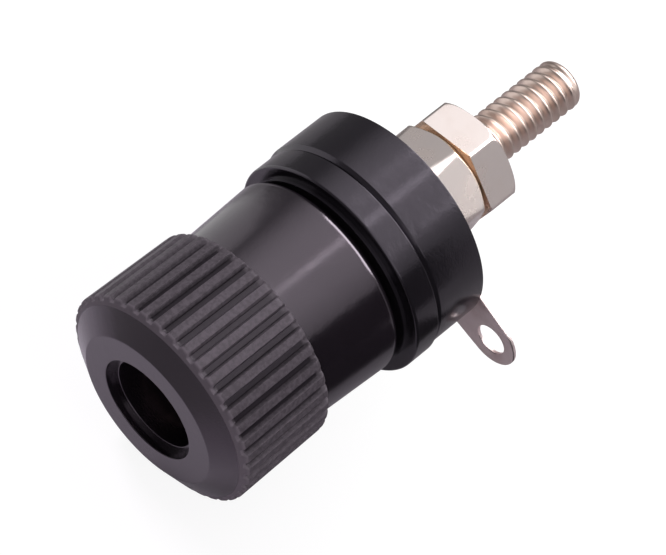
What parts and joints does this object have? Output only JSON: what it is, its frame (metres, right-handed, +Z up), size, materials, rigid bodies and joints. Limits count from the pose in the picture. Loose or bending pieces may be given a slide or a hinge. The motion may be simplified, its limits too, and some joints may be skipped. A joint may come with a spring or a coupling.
{
  "type": "binding post with banana socket",
  "caption": "Panel binding post with a banana plug bore, a knurled clamping knob on a threaded post, insulating collars, a solder lug and nuts on a rear stud.",
  "frame": {"origin": "on the axis, at the face of the front collar that lies against the panel", "axes": "+Y along the axis from the plug's mouth to the rear stud, +Z up, +X to the right as seen from the front"},
  "size_m": [0.0204, 0.0414, 0.0173],
  "materials": {
    "knob_plastic": "moulded black plastic, semi-gloss on the skirt and satin on the ribs",
    "insulator_plastic": "moulded black plastic, semi-gloss",
    "nickel_plate": "nickel plate on turned brass, bright",
    "lug_plate": "nickel plate on stamped brass sheet, satin"
  },
  "bodies": {
    "panel_unit": {"post": "nickel_plate", "front_collar": "insulator_plastic", "rear_washer": "insulator_plastic", "solder_lug": "lug_plate", "plain_washer": "nickel_plate", "spring_washer": "nickel_plate", "clamp_nut": "nickel_plate", "lock_nut": "nickel_plate"},
    "knob_bush": {"knob_insert": "nickel_plate"},
    "knob_shell": {"knob": "knob_plastic"}
  },
  "joints": [
    {"name": "knob_travel", "type": "slide", "parent": "panel_unit", "child": "knob_bush", "axis": [0, -1, 0], "range_m": [-0.00045, 0.00451]},
    {"name": "knob_turn", "type": "hinge", "parent": "knob_bush", "child": "knob_shell", "pos_m": [0, -0.01, 0], "axis": [0, -1, 0], "range_deg": [-158, 1620]}
  ],
  "couplings": [
    {"joint": "knob_travel", "follows": "knob_turn", "m_per_rad": 0.00015915}
  ]
}
